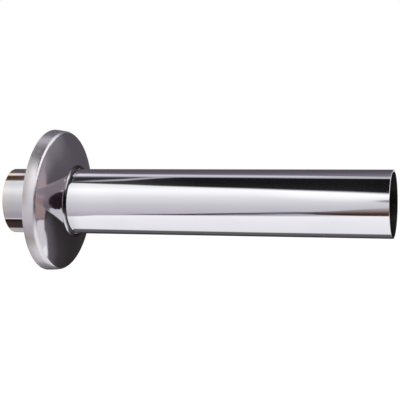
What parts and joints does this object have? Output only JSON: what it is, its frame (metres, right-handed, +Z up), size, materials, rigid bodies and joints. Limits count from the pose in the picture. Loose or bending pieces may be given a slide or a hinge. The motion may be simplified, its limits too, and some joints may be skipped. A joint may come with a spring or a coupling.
{
  "type": "wall connection pipe",
  "caption": "Straight plated drain tube with a loose sliding wall rosette: it joins a basin trap to the drain socket in a wall.",
  "frame": {"origin": "centre of the tube's rear end, which goes into the wall socket", "axes": "+X along the tube, out of the wall to the trap; +Z up; +Y to the left for someone who faces the wall's tube end from the room"},
  "size_m": [0.19, 0.0702, 0.0702],
  "materials": {
    "chrome_tube": "polished bright plating",
    "chrome_rosette": "bright plating on pressed sheet"
  },
  "bodies": {
    "tube": {"wall_tube": "chrome_tube"},
    "rosette": {"wall_rosette": "chrome_rosette"}
  },
  "joints": [
    {"name": "rosette_slide", "type": "slide", "parent": "tube", "child": "rosette", "axis": [1, 0, 0], "range_m": [-0.032, 0.155]}
  ]
}
